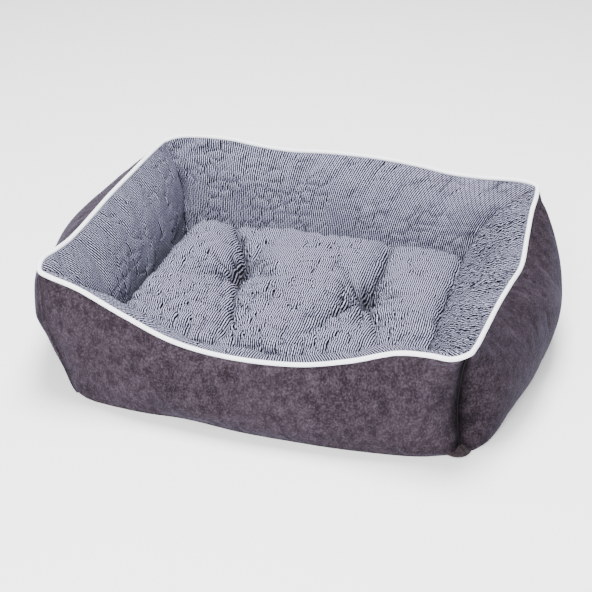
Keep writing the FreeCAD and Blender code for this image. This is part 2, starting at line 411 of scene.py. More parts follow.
def ripples(shape: tuple[int, int], lumps: tuple[int, int], seed: int) -> Array:
    """Smooth random numbers between about -1 and 1 over a grid.

    Args:
        shape: rows and columns of the grid.
        lumps: about how many lumps fit down and across it.
        seed: the draw's seed.

    Returns:
        The numbers, one per grid point.
    """
    draw = np.random.default_rng(seed)
    table = draw.uniform(-1, 1, (lumps[0] + 3, lumps[1] + 3))
    for axis in (0, 1):
        place = np.linspace(0, lumps[axis], shape[axis])
        base = np.floor(place).astype(int)
        share = place - base
        # The four weights of a cubic spline
        weights = np.stack([(1 - share) ** 3, 3 * share ** 3 - 6 * share ** 2 + 4,
                            -3 * share ** 3 + 3 * share ** 2 + 3 * share + 1, share ** 3]) / 6
        spread = np.expand_dims(weights, 2 - axis)
        table = sum(np.take(table, np.minimum(base + step, table.shape[axis] - 1), axis=axis) * spread[step]
                    for step in range(4))
    return table * 1.6


def away_from(line: tuple[PlanPoint, ...], x: Array, y: Array) -> tuple[Array, Array]:
    """How far places in plan are from a broken line, and how far along it their nearest point is.

    Args:
        line: the line's points.
        x: the places' first coordinates.
        y: their second coordinates.

    Returns:
        The distances, and the shares of the line's length.
    """
    points = np.array(line, float)
    runs = np.linalg.norm(np.diff(points, axis=0), axis=1)
    reach = np.concatenate([[0.0], np.cumsum(runs)])
    nearest, share = np.full(x.shape, 1e9), np.zeros(x.shape)
    for index, run in enumerate(runs):
        start, step = points[index], points[index + 1] - points[index]
        along = (((x - start[0]) * step[0] + (y - start[1]) * step[1]) / run ** 2).clip(0, 1)
        gap = np.hypot(x - start[0] - along * step[0], y - start[1] - along * step[1])
        closer = gap < nearest
        nearest = np.where(closer, gap, nearest)
        share = np.where(closer, (reach[index] + along * run) / reach[-1], share)
    return nearest, share


def soft_noise(x: Array, y: Array, size: float, seed: int) -> Array:
    """Smooth random numbers between about -1 and 1 at any places in plan.

    Args:
        x: the places' first coordinates.
        y: their second coordinates.
        size: how far apart the lumps are.
        seed: the draw's seed.

    Returns:
        The numbers.
    """
    draw = np.random.default_rng(seed)
    table = draw.uniform(-1, 1, (TABLE, TABLE))
    u, v = x / size + 16.37, y / size + 19.11
    column, line = np.floor(u).astype(int), np.floor(v).astype(int)
    across, down = u - column, v - line
    across, down = across * across * (3 - 2 * across), down * down * (3 - 2 * down)
    left, right = column % TABLE, (column + 1) % TABLE
    upper, lower = line % TABLE, (line + 1) % TABLE
    return between(between(table[upper, left], table[upper, right], across),
                   between(table[lower, left], table[lower, right], across), down)


def cell_edges(x: Array, y: Array, size: float, seed: int) -> Array:
    """How far places are from the edges of a random mesh of cells, in the unit of the size.

    Args:
        x: the places' first coordinates.
        y: their second coordinates.
        size: how large a cell is.
        seed: the draw's seed.

    Returns:
        The difference between the distances to the two nearest cell centres.
    """
    draw = np.random.default_rng(seed)
    jitter = draw.uniform(0.1, 0.9, (TABLE, TABLE, 2))
    u, v = x / size + 20, y / size + 20
    column, line = np.floor(u).astype(int), np.floor(v).astype(int)
    first, second = np.full(x.shape, 1e9), np.full(x.shape, 1e9)
    for i in (-1, 0, 1):
        for j in (-1, 0, 1):
            spot = jitter[(line + i) % TABLE, (column + j) % TABLE]
            gap = np.hypot(column + j + spot[..., 0] - u, line + i + spot[..., 1] - v)
            second = np.minimum(second, np.maximum(first, gap))
            first = np.minimum(first, gap)
    return (second - first) * size


def border(shape: tuple[int, int]) -> Array:
    """1 along the four edges of a grid, and 0 inside them."""
    edges = np.ones(shape)
    edges[1:-1, 1:-1] = 0
    return edges


def new_piece(name: str, places: Array, faces: list[list[int]]) -> Object:
    """Adds a mesh object at the origin.

    Args:
        name: the piece's name.
        places: its points, in metres.
        faces: the numbers of each face's points.

    Returns:
        The new object.
    """
    mesh = bpy.data.meshes.new(name)
    mesh.from_pydata(places.reshape(-1, 3).tolist(), [], faces)
    mesh.update()
    thing = bpy.data.objects.new(name, mesh)
    bpy.context.scene.collection.objects.link(thing)
    return thing


@dataclass
class ClothGrid:
    """A rectangle of cloth: places, the same places on the flat cloth, and what holds it."""

    name: str
    places: Array
    flat: Array
    hold: Array

    def piece(self) -> Object:
        """Makes the mesh object, with its cloth map."""
        index = np.arange(self.hold.size).reshape(self.hold.shape)
        faces = np.stack([index[:-1, :-1], index[:-1, 1:], index[1:, 1:], index[1:, :-1]], -1).reshape(-1, 4)
        thing = new_piece(self.name, self.places, faces.tolist())
        layer = thing.data.uv_layers.new(name=CLOTH_MAP)
        layer.data.foreach_set("uv", self.flat.reshape(-1, 2)[faces.reshape(-1)].reshape(-1))
        return thing


def read(items: bpy.types.bpy_prop_collection, name: str, width: int = 1) -> Array:
    """A number, or a row of them, from each of a mesh's items."""
    numbers = np.empty(len(items) * width)
    items.foreach_get(name, numbers)
    return numbers.reshape(-1, width) if width > 1 else numbers


def coordinates_of(mesh: Mesh) -> Array:
    """The mesh's points, one row each."""
    return read(mesh.vertices, "co", 3)


@dataclass
class Settling:
    """One piece that waits for the cloth simulation."""

    piece: Object
    cap: float
    start: Array
    floor: float


@dataclass
class ClothRoom:
    """Lets all waiting pieces settle together, each under its own pressure."""

    frames: int = 20
    stiffness: float = 12.0
    bending: float = 1.6
    damping: float = 8.0
    waiting: list[Settling] = field(default_factory=list)

    def add(self, piece: Object, hold: Array, pressure: float, ease: float, cap: float,
            floor: float = -1.0) -> None:
        """Puts a piece in the room.

        Args:
            piece: the mesh object.
            hold: per point, 1 where a seam holds it and 0 where it is free.
            pressure: how hard the stuffing pushes.
            ease: how much larger than its place the cloth is cut, as a share.
            cap: how far a point may move, in metres.
            floor: the height that no point sinks below.
        """
        group = piece.vertex_groups.new(name="held")
        for weight in np.unique(hold):
            if weight > 0:
                group.add(np.flatnonzero(hold == weight).tolist(), float(weight), "REPLACE")
        cloth = piece.modifiers.new("settling", "CLOTH").settings
        cloth.quality = 6
        cloth.mass = 0.25
        cloth.air_damping = 2.0
        cloth.tension_stiffness = cloth.compression_stiffness = self.stiffness
        cloth.shear_stiffness = self.stiffness * 0.4
        cloth.bending_stiffness = self.bending
        cloth.tension_damping = cloth.compression_damping = cloth.shear_damping = self.damping
        cloth.vertex_group_mass = "held"
        cloth.pin_stiffness = 1.0
        cloth.use_pressure = True
        cloth.uniform_pressure_force = pressure
        cloth.shrink_min = -ease
        cloth.effector_weights.gravity = 0.0
        self.waiting.append(Settling(piece, cap, coordinates_of(piece.data), floor))

    def settle(self) -> None:
        """Runs the simulation and keeps its result in the meshes."""
        scene = bpy.context.scene
        for number in range(1, self.frames + 1):
            scene.frame_set(number)
        graph = bpy.context.evaluated_depsgraph_get()
        for item in self.waiting:
            settled = coordinates_of(item.piece.evaluated_get(graph).data)
            move = settled - item.start
            length = np.linalg.norm(move, axis=1, keepdims=True)
            # A soft cap: small moves stay whole, large ones approach the cap
            share = np.tanh(length / item.cap) * item.cap / np.maximum(length, 1e-9)
            places = item.start + move * share
            places[:, 2] = np.maximum(places[:, 2], item.floor)
            item.piece.data.vertices.foreach_set("co", places.reshape(-1))
            LOG.info("settled %s, up to %.1f mm", item.piece.name, length.max() / MM)
            item.piece.modifiers.clear()
            item.piece.vertex_groups.clear()
            item.piece.data.update()
        scene.frame_set(1)
        self.waiting.clear()


def only(thing: Object) -> None:
    """Selects one object and nothing else."""
    bpy.ops.object.select_all(action="DESELECT")
    thing.select_set(True)
    bpy.context.view_layer.objects.active = thing


def flat_places(mesh: Mesh) -> Array:
    """Each point's place on the flat cloth, in metres, from the cloth map."""
    places = np.empty((len(mesh.vertices), 2))
    places[read(mesh.loops, "vertex_index").astype(int)] = read(mesh.uv_layers[CLOTH_MAP].data, "uv", 2)
    return places


def mark(mesh: Mesh, depth: Array) -> None:
    """Notes how much painted shade each point gets, from 0 to 1, for the material; the darkest mark stays."""
    layer = mesh.attributes.get(SHADE_MARK) or mesh.attributes.new(SHADE_MARK, "FLOAT", "POINT")
    deepest = np.maximum(read(layer.data, "value"), depth).clip(0, 1)
    layer.data.foreach_set("value", deepest.astype(np.float32))


def push(mesh: Mesh, amount: Array) -> None:
    """Moves each point along its normal by an amount in metres."""
    places = coordinates_of(mesh) + read(mesh.vertices, "normal", 3) * amount[:, None]
    mesh.vertices.foreach_set("co", places.reshape(-1))
    mesh.update()


@dataclass(frozen=True)
class Puckers:
    """The small gathered creases of a quilted lining.

    The creases run round cells. A share above 0 makes more of them deep, a tilt does so
    towards the cloth's last row, and the gloom is how much painted shade darkens them.
    """

    cell: float = 17 * MM
    depth: float = 2.5 * MM
    width: float = 1.8 * MM
    share: float = 0.0
    tilt: float = 0.45
    seed: int = 1
    gloom: float = 0.55

    def press(self, piece: Object) -> None:
        """Presses the creases into a piece, along its normals.

        Args:
            piece: a cloth, before it gets its thickness.
        """
        flat = flat_places(piece.data)
        x, y = flat[:, 0], flat[:, 1]
        u = x + soft_noise(x, y, 10 * MM, self.seed) * 5.0 * MM
        v = y * 1.15 + soft_noise(y, x, 10 * MM, self.seed + 1) * 5.0 * MM
        edge = cell_edges(u, v, self.cell, self.seed + 2)
        crease = np.exp(-(edge / self.width) ** 1.3)
        lower = (y - y.min()) / (y.max() - y.min()) - 0.5
        kept = soft_noise(x, y, 24 * MM, self.seed + 3) + soft_noise(x, y, 9 * MM, self.seed + 5) * 0.5
        kept = ((kept + self.share + self.tilt * lower) * 1.1 + 0.42).clip(0, 1)
        fine = soft_noise(x, y, 6 * MM, self.seed + 4) * 0.07
        pillow = (edge / self.cell).clip(0, 0.5) * 0.8
        inset = np.minimum.reduce([x - x.min(), x.max() - x, y - y.min(), y.max() - y])
        fade = (inset / (6 * MM)).clip(0, 1)
        push(piece.data, ((pillow - crease) * (0.15 + 0.85 * kept) + fine) * fade * self.depth)
        # Painted shade in the creases, through the shade marks
        mark(piece.data, crease * kept * fade * self.gloom)


def thicken(piece: Object, thickness: float) -> None:
    """Gives a cloth its thickness, in metres, behind its face."""
    solid = piece.modifiers.new("thickness", "SOLIDIFY")
    solid.thickness = thickness
    solid.offset = -1
    only(piece)
    bpy.ops.object.modifier_apply(modifier=solid.name)


def finish_cloth(piece: Object, thickness: float, puckers: Puckers | None = None,
                 shape: Callable[[Mesh], None] | None = None) -> None:
    """Smooths a settled cloth, creases it and gives it its thickness behind its face.

    Args:
        piece: the cloth.
        thickness: its thickness, in metres.
        puckers: the creases of a quilted cloth.
        shape: what else is pressed into the smoothed cloth.
    """
    smooth = piece.modifiers.new("smooth", "SUBSURF")
    smooth.levels = smooth.render_levels = 1
    only(piece)
    bpy.ops.object.modifier_apply(modifier=smooth.name)
    if puckers:
        puckers.press(piece)
    if shape:
        shape(piece.data)
    thicken(piece, thickness)
    bpy.ops.object.shade_smooth()


def tube(name: str, path: Array, radius: float, closed: bool) -> Object:
    """A round cord along a path.

    Args:
        name: the piece's name.
        path: closely spaced places, in metres.
        radius: the cord's radius, in metres.
        closed: whether the path returns to its start.

    Returns:
        The cord, as a mesh.
    """
    bpy.ops.object.select_all(action="DESELECT")
    bpy.ops.curve.primitive_nurbs_circle_add(radius=1, location=(0, 0, 0))
    thing = bpy.context.object
    data = thing.data
    data.splines.clear()
    line = data.splines.new("POLY")
    line.points.add(len(path) - 1)
    line.points.foreach_set("co", np.column_stack([path, np.ones(len(path))]).reshape(-1))
    line.use_cyclic_u = closed
    data.dimensions = "3D"
    data.bevel_depth = radius
    data.bevel_resolution = 3
    data.use_fill_caps = not closed
    bpy.ops.object.convert(target="MESH")
    thing = bpy.context.object
    thing.name = name
    bpy.ops.object.shade_smooth()
    return thing


def wear(piece: Object, material: Material) -> None:
    """Gives a piece one material."""
    piece.data.materials.clear()
    piece.data.materials.append(material)


def declare(piece: Object, material: Material, body: str, slot: str, *nodes: str) -> None:
    """Gives a piece its material and its body, and hides the frame's nodes that it stands for.

    Args:
        piece: the piece.
        material: its one material.
        body: the body that it rides.
        slot: its material slot; not used.
        nodes: the frame's nodes that it stands for.
    """
    wear(piece, material)
    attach(piece, body)
    if nodes:
        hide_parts(*nodes)


# ---- The bed's shape --------------------------------------------------------------------
class Side(Enum):
    """The four walls."""

    FRONT = "front"
    RIGHT = "right"
    BACK = "back"
    LEFT = "left"


@dataclass
class Corner:
    """Where two walls meet, in millimetres.

    The foot and the middle of the seam outside, the height of that middle, how straight
    the seam rises to it, the lining's seam beside the cushion and at the floor, and how
    much painted shade darkens the cloth beside the seam, outside and inside.
    """

    foot: PlanPoint
    middle: PlanPoint
    level: float
    lean: float
    press: PlanPoint
    floor: PlanPoint
    gloom: tuple[float, float]


@dataclass
class Wall:
    """One wall's shape between its two corners, in millimetres.

    The lobes say how far the stuffed cloth stands out past the straight line between the
    corner seams. A low fullness makes an end swell steeply out of its seam, as a creased
    corner does; a high one lets it rise slowly. A shoulder is a step that it makes at once,
    beside the seam. The foot's line is given as shares of the length and how far out it lies.
    A boxy wall has a flatter top inside the rim.
    """

    side: Side
    start: str
    end: str
    foot_line: tuple[PlanPoint, ...]
    middle_lobe: float
    middle_height: float
    peak: float
    fullness: tuple[float, float]
    shoulder: tuple[float, float]
    inner_lobe: float
    inner_fullness: tuple[float, float]
    rim: list[Point]
    columns: int
    outward: PlanPoint
    boxy: float = 0.0

    def corners(self) -> tuple[Corner, Corner]:
        """The corners where it starts and ends."""
        return CORNERS[self.start], CORNERS[self.end]

    def way_out(self) -> Array:
        """The level direction away from the bed."""
        return flat_point(self.outward)


# The gloom of each quilting is the painted shade in its creases
QUILTING = {
    Side.FRONT: Puckers(seed=40, share=0.1),
    Side.RIGHT: Puckers(10 * MM, 2.0 * MM, 1.7 * MM, share=0.75, tilt=0.1, seed=50, gloom=1.0),
    Side.BACK: Puckers(19 * MM, 3.0 * MM, 2.4 * MM, share=0.25, tilt=0.6, seed=60, gloom=0.4),
    Side.LEFT: Puckers(22 * MM, 1.8 * MM, 2.4 * MM, share=-0.1, tilt=0.1, seed=70, gloom=0.4),
}
# Painted shade over the whole of each wall's plush and lining, where less light falls on it
WALL_SHADE = {Side.FRONT: (0.0, 0.1), Side.RIGHT: (0.32, 0.38), Side.BACK: (0.0, 0.0), Side.LEFT: (0.1, 0.28)}
# The heights, in millimetres, of the feet, of the inner floor and of the place where a
# lining stands out furthest over the cushion
FOOT_HEIGHT = 2.2
FLOOR_HEIGHT = 17.0
PRESS_HEIGHT = 76.0

CORNERS = {
    "front_left": Corner((-250, -207), (-287, -212), 108, 0.6, (-246, -184), (-248, -186), (0.6, 0.45)),
    "front_right": Corner((264, -193), (253, -190), 70, 0.2, (216, -182), (220, -186), (1.0, 0.6)),
    "back_right": Corner((262, 190), (286, 202), 90, 0.3, (216, 182), (224, 188), (0.3, 0.4)),
    "back_left": Corner((-254, 188), (-286, 204), 100, 0.4, (-264, 209), (-246, 181), (0.3, 1.0)),
}

WALLS = [
    Wall(Side.FRONT, "front_left", "front_right",
         ((0, 0), (0.05, 12), (0.2, 20), (0.3, 19), (0.46, 29), (0.6, 31), (0.7, 31), (0.88, 23), (0.96, 10),
          (1, 0)),
         38, 68, 0.54, (0.8, 0.42), (1, 15), 10, (0.5, 0.4),
         [(-285, -210, 184), (-270, -217, 182), (-231, -219, 172), (-171, -220, 144), (-105, -221, 117),
          (-31, -223, 108), (60, -224, 114), (124, -226, 132), (184, -227, 155), (222, -228, 159),
          (247, -227, 158), (265, -218, 162)], 170, (0, -1), 1.0),
    Wall(Side.RIGHT, "front_right", "back_right",
         ((0, 0), (0.03, 14), (0.08, 24), (0.2, 30), (0.5, 30), (0.8, 26), (0.95, 12), (1, 0)),
         65, 84, 0.58, (0.38, 0.45), (20, 3), 14, (0.4, 0.4),
         [(265, -218, 162), (270, -196, 160), (274, -150, 157), (280, -75, 153), (287, -15, 150),
          (294, 40, 149), (292, 110, 159), (291, 160, 173), (293, 194, 185), (290, 211, 190)], 130, (1, 0)),
    Wall(Side.BACK, "back_right", "back_left",
         ((0, 0), (0.05, 10), (0.2, 19), (0.5, 25), (0.8, 19), (0.95, 10), (1, 0)),
         36, 84, 0.5, (0.5, 0.5), (4, 4), 20, (0.45, 0.22),
         [(290, 211, 190), (270, 213, 194), (208, 211, 193), (164, 211, 194), (120, 211, 200), (60, 211, 205),
          (-18, 211, 205), (-81, 211, 201), (-128, 211, 203), (-176, 211, 208), (-225, 211, 207),
          (-262, 213, 201), (-282, 209, 194)], 170, (0, 1)),
    Wall(Side.LEFT, "back_left", "front_left",
         ((0, 0), (0.06, 8), (0.25, 21), (0.45, 26), (0.7, 17), (0.9, 5), (1, 0)),
         66, 92, 0.42, (0.85, 0.95), (3, 17), 14, (0.22, 0.5),
         [(-282, 209, 194), (-283, 190, 195), (-282, 140, 197), (-282, 72, 196), (-282, 0, 195),
          (-282, -49, 192), (-283, -97, 188), (-284, -130, 187), (-286, -160, 189), (-290, -192, 190),
          (-285, -210, 184)],
         130, (-1, 0)),
]


def flat_point(place: PlanPoint) -> Array:
    """A place in plan as an array, at height 0."""
    return np.array(place + (0,), float)


def straight(start: PlanPoint, end: PlanPoint, shares: Array) -> Array:
    """The straight line between two places in plan, at height 0."""
    first, last = flat_point(start), flat_point(end)
    return first + np.outer(shares, last - first)


def eased(knots: tuple[PlanPoint, ...], shares: Array) -> Array:
    """A smooth curve through a few knots, read at shares.

    Args:
        knots: pairs of share and amount.
        shares: where to read it.

    Returns:
        The amounts.
    """
    curve = through([(share * 100, amount, 0) for share, amount in knots], 12)
    return np.interp(shares, curve[:, 0] / 100, curve[:, 1])


def swell(shares: Array, peak: float, fullness: tuple[float, float]) -> Array:
    """How much of its lobe a wall shows at shares of its length.

    Args:
        shares: shares from its start corner to its end corner.
        peak: the share of its fattest place.
        fullness: how slowly it rises at its start and at its end.

    Returns:
        Numbers from 0 at the corners to 1 at the fattest place.
    """
    wave = np.sin(np.pi * shares ** (math.log(0.5) / math.log(peak))).clip(0)
    return np.where(shares < peak, wave ** fullness[0], wave ** fullness[1])


def step_out(size: float, distance: Array) -> Array:
    """A shoulder: it rises at once beside a seam and dies away along the wall."""
    return size * (1 - np.exp(-distance / 12)) * np.exp(-distance / 240)


def arch(low: Array, high: Array, share: float, degrees: float, boxy: float = 0.0) -> Array:
    """One row of a cover's arch from the side of a wall up to its rim.

    Args:
        low: the row where the arch starts.
        high: the row where it ends.
        share: the share of the way up.
        degrees: how far it turns.
        boxy: how much flatter its top is, from 0 to 1.

    Returns:
        The row's places.
    """
    last = math.radians(degrees)
    inward = (1 - math.cos(share * last)) / (1 - math.cos(last))
    rise = (math.sin(share * last) / math.sin(last)) ** (1 - 0.5 * boxy)
    return low + (high - low) * np.array([inward, inward, rise])


def cloth_grid(name: str, places: Array) -> ClothGrid:
    """A cloth grid held all round, with its flat size worked out.

    Args:
        name: the piece's name.
        places: its places, in millimetres.

    Returns:
        The grid, in metres.
    """
    places = places * MM
    down = np.linalg.norm(np.diff(places, axis=0), axis=2).mean(axis=1)
    across = np.linalg.norm(np.diff(places, axis=1), axis=2).mean(axis=0)
    up, along = (np.concatenate([[0], np.cumsum(steps)]) for steps in (down, across))
    return ClothGrid(name, places, np.stack(np.meshgrid(along, up), -1), border(places.shape[:2]))


@dataclass
class BedShape:
    """Turns the walls' sizes, in millimetres and degrees, into cloth grids.

    The belly is the share of a plush panel's rows below the place where it stands out
    furthest, and the tuck the share of a lining's rows above its own. From both an arch
    leads up to the rim, and ends a drop below the piping's centre and a gap beside it.
    """

    outer_rows: int = 44
    inner_rows: int = 50
    belly: float = 0.42
    tuck: float = 0.62
    drop: float = 1.2
    gap: float = 2.2
    outer_turn: float = 72
    inner_turn: float = 58
    boxy_turn: float = 26

    def rim(self, wall: Wall, shares: Array) -> Array:
        """The rim's places at shares of a wall."""
        return along_curve(self.rim_curve(wall), shares)

    def rim_curve(self, wall: Wall) -> Array:
        """The rim of one wall, closely spaced, turning smoothly into its neighbours."""
        index, per_span = WALLS.index(wall), 16
        points = [WALLS[index - 1].rim[-2]] + wall.rim + [WALLS[(index + 1) % len(WALLS)].rim[1]]
        return through(points, per_span)[per_span:-per_span]

    def feet(self, wall: Wall, shares: Array) -> Array:
        """The line of a wall's foot, at height 0."""
        start, end = wall.corners()
        bulge = np.outer(eased(wall.foot_line, shares), wall.way_out())
        return straight(start.foot, end.foot, shares) + bulge

    def outer(self, wall: Wall) -> ClothGrid:
        """The plush panel of a wall, from its foot to its rim.

        Args:
            wall: the wall.

        Returns:
            The grid; its first row is the foot.
        """
        shares = np.linspace(0, 1, wall.columns)
        start, end = wall.corners()
        out = wall.way_out()
        wave = swell(shares, wall.peak, wall.fullness)
        length = math.dist(start.middle, end.middle)
        ways = (shares * length, (1 - shares) * length)
        shoulders = sum(step_out(size, way) for size, way in zip(wall.shoulder, ways))
        lobe = wave * wall.middle_lobe + shoulders * np.sin(np.pi * shares) ** 0.05
        rim = self.rim(wall, shares) - (0, 0, self.drop)
        blend = wave ** 0.8
        lean = between(start.lean, end.lean, shares) * (1 - blend)
        level = between(between(start.level, end.level, shares), wall.middle_height, blend)
        foot = self.feet(wall, shares)
        middle = straight(start.middle, end.middle, shares) + np.outer(lobe, out)
        foot[:, 2] = FOOT_HEIGHT
        middle[:, 2] = np.minimum(level, rim[:, 2] * 0.62)
        rows = []
        for step in np.linspace(0, 1, self.outer_rows):
            if step < self.belly:
                turn = step / self.belly * math.pi / 2
                rise = 1 - math.cos(turn)
                out_share = between(math.sin(turn) ** 0.9, rise ** 1.6, lean)
                climb = np.column_stack([out_share, out_share, np.full(shares.shape, rise)])
                rows.append(foot + (middle - foot) * climb)
            else:
                share = (step - self.belly) / (1 - self.belly)
                rows.append(arch(middle, rim + out * self.gap, share, self.outer_turn))
        return cloth_grid(wall.side.value + "_plush_panel", np.array(rows))

    def inner(self, wall: Wall) -> ClothGrid:
        """The lining of a wall, from the rim down to the floor.

        Args:
            wall: the wall.

        Returns:
            The grid; its first row is the rim.
        """
        shares = np.linspace(0, 1, wall.columns)
        start, end = wall.corners()
        out = wall.way_out()
        lobe = np.outer(swell(shares, 0.5, wall.inner_fullness) * wall.inner_lobe, out)
        rim = self.rim(wall, shares) - (0, 0, self.drop)
        press = straight(start.press, end.press, shares) - lobe
        floor = straight(start.floor, end.floor, shares) - lobe * 0.4
        press[:, 2] = np.minimum(PRESS_HEIGHT, rim[:, 2] * 0.72)
        floor[:, 2] = FLOOR_HEIGHT
        rows = []
        for step in np.linspace(0, 1, self.inner_rows):
            if step < self.tuck:
                degrees = self.inner_turn + self.boxy_turn * wall.boxy
                rows.append(arch(press, rim - out * self.gap, 1 - step / self.tuck, degrees, wall.boxy))
            else:
                turn = (1 - step) / (1 - self.tuck) * math.pi / 2
                rows.append(floor + (press - floor) * (math.sin(turn), math.sin(turn), 1 - math.cos(turn)))
        return cloth_grid(wall.side.value + "_lining_panel", np.array(rows))


# ---- Pieces -----------------------------------------------------------------------------
@dataclass(frozen=True)
class EndShade:
    """Painted shade on a panel's cloth: how dark it is at its start and end seams, along its last row and on
    the whole.
    """

    start: float
    end: float
    last: float
    whole: float
    reach: float = 13 * MM

    def lay(self, mesh: Mesh) -> None:
        """Adds the painted shade to a panel's shade marks.

        Args:
            mesh: the panel's mesh.
        """
        along, down = flat_places(mesh).T
        reach = self.reach * (1 + 0.5 * soft_noise(along, down, 18 * MM, 61))
        rise = (down / down.max() * 1.15).clip(0, 1) ** 0.5 if self.last else 1.0
        # Painted shade in the corner seams at both ends
        ends = np.maximum(self.start * np.exp(-(along / reach) ** 1.5),
                          self.end * np.exp(-((along.max() - along) / reach) ** 1.5))
        # Painted shadow along the last row, beside the cushion and the floor
        last = self.last * np.exp(-((down.max() - down) / (26 * MM)) ** 2)
        # Painted shade over the whole panel
        whole = self.whole * (1 + 0.3 * soft_noise(along, down, 60 * MM, 62))
        mark(mesh, np.maximum.reduce([ends * rise, last, whole]))


@dataclass
class Cover:
    """A cloth that waits to be dressed: its piece, its grid and its flat size."""

    piece: Object
    grid: ClothGrid
    flat: tuple[float, float]

    def settled(self) -> Array:
        """The grid's places after settling."""
        return coordinates_of(self.piece.data).reshape(self.grid.places.shape)


@dataclass
class StuffedWalls:
    """The four walls: covers, the fibre in them and the seams between them."""

    shape: BedShape
    plush: Material
    lining: Material
    fibre: Material
    seam: Material
    # The dark cloth of the deepest corner seam, as painted shade
    painted_shade: Material
    plush_thickness: float = 2.6 * MM
    lining_thickness: float = 1.2 * MM
    seam_radius: float = 1.3 * MM
    plush_gap: float = 6.0 * MM
    lining_gap: float = 6.5 * MM
    floor_shade: float = 0.62
    made: dict[str, Cover] = field(default_factory=dict)

    def build(self, room: ClothRoom) -> None:
        """Lays out the covers and hands them to the cloth room.

        Args:
            room: where they settle.
        """
        for number, wall in enumerate(WALLS):
            outer, inner = self.shape.outer(wall), self.shape.inner(wall)
            # Loose folds to start from; the stuffing then smooths them
            self.stir(outer, (5, 12), 2.2 * MM, 11 + number)
            self.stir(inner, (9, 24), 2.0 * MM, 21 + number)
            for grid, pressure, ease, cap in ((outer, 5.0, 0.008, 8 * MM), (inner, 4.0, 0.04, 7 * MM)):
                cover = Cover(grid.piece(), grid, tuple(grid.flat[-1, -1]))
                self.made[grid.name] = cover
                room.add(cover.piece, grid.hold.reshape(-1), pressure, ease, cap)

    def stir(self, grid: ClothGrid, lumps: tuple[int, int], depth: float, seed: int) -> None:
        """Adds shallow random folds to a grid, none at its held edges."""
        down, across = (np.minimum(np.arange(count), np.arange(count)[::-1]) for count in grid.hold.shape)
        fade = np.minimum.outer(down, across).clip(0, 6) / 6
        folds = ripples(grid.hold.shape, lumps, seed) * fade * depth
        grid.places += grid_normals(grid.places) * folds[:, :, None]

    def dress(self) -> None:
        for wall in WALLS:
            side = wall.side.value
            outer, inner = self.made[side + "_plush_panel"], self.made[side + "_lining_panel"]
            fill = self.stuffing(side, outer, inner)
            self.corner(wall, outer, inner)
            (start_out, start_in), (end_out, end_in) = (corner.gloom for corner in wall.corners())
            # Painted shade over each wall's plush and lining
            wall_shade_out, wall_shade_in = WALL_SHADE[wall.side]
            outside = EndShade(start_out, end_out, 0.0, wall_shade_out)
            inside = EndShade(start_in, end_in, self.floor_shade, wall_shade_in)
            finish_cloth(outer.piece, self.plush_thickness, None, outside.lay)
            finish_cloth(inner.piece, self.lining_thickness, QUILTING[wall.side], inside.lay)
            declare(outer.piece, self.plush, "bed", "plush", side + "_outer_panel")
            declare(inner.piece, self.lining, "bed", "striped_lining", side + "_lining")
            declare(fill, self.fibre, "bed", "polyester_fill", side + "_bolster_fill")
            LOG.info("wall %s, plush %.0f x %.0f mm, lining %.0f x %.0f mm", side,
                     outer.flat[0] / MM, outer.flat[1] / MM, inner.flat[0] / MM, inner.flat[1] / MM)

    def stuffing(self, side: str, outer: Cover, inner: Cover) -> Object:
        """The fibre inside one wall, a little smaller than its covers.

        Args:
            side: the wall's name.
            outer: its plush cover.
            inner: its lining.

        Returns:
            The closed body of fibre.
        """
        front = outer.settled() - grid_normals(outer.settled()) * self.plush_gap
        back = inner.settled() - grid_normals(inner.settled()) * self.lining_gap
        loop = np.vstack([front[2:-7:3, 14:-14:3], back[9:-2:3, 14:-14:3]])
        loop[:, :, 2] = np.maximum(loop[:, :, 2], 5 * MM)
        return closed_tube(side + "_wall_fill", loop)

    def corner(self, wall: Wall, outer: Cover, inner: Cover) -> None:
        """The seam at the wall's starting corner: down the outside, and down the inside.

        Args:
            wall: the wall.
            outer: its plush cover.
            inner: its lining.
        """
        # At the deepest corner crease the outer seam is thinner and made of the dark cloth, as painted shade
        painted_shade = CORNERS[wall.start].gloom[0] > 0.8
        radius = self.seam_radius * (0.6 if painted_shade else 1.0)
        seam = tube(wall.start + "_outer_seam", outer.settled()[1:-1, 0], radius, False)
        declare(seam, self.painted_shade if painted_shade else self.seam, "bed", "plush", wall.start + "_corner_seam")
        inside = tube(wall.start + "_inner_seam", inner.settled()[2:-1, 0], self.seam_radius * 0.7, False)
        declare(inside, self.seam, "bed", "thread")


def closed_tube(name: str, loops: Array) -> Object:
    """A closed body from a grid whose rows go round it and whose columns go along it.

    Args:
        name: the piece's name.
        loops: the grid's places, in metres.

    Returns:
        The body.
    """
    rows, columns = loops.shape[:2]
    index = np.arange(rows * columns).reshape(rows, columns)
    following = np.roll(index, -1, axis=0)
    quads = np.stack([index[:, :-1], index[:, 1:], following[:, 1:], following[:, :-1]], -1).reshape(-1, 4)
    places, faces = loops.reshape(-1, 3), quads.tolist()
    for column, turned in ((0, True), (columns - 1, False)):
        centre = len(places)
        places = np.vstack([places, loops[:, column].mean(axis=0)])
        ring, others = index[:, column].tolist(), following[:, column].tolist()
        faces += [[a, b, centre] if turned else [b, a, centre] for a, b in zip(ring, others)]
    thing = new_piece(name, places, faces)
    only(thing)
    bpy.ops.object.mode_set(mode="EDIT")
    bpy.ops.mesh.select_all(action="SELECT")
    bpy.ops.mesh.normals_make_consistent(inside=False)
    bpy.ops.object.mode_set(mode="OBJECT")
    bpy.ops.object.shade_smooth()
    return thing


def grid_normals(places: Array) -> Array:
    """Unit normals of a grid of places, on its face's side."""
    down, across = np.gradient(places, axis=0), np.gradient(places, axis=1)
    normal = np.cross(across, down)
    return normal / np.maximum(np.linalg.norm(normal, axis=2, keepdims=True), 1e-12)


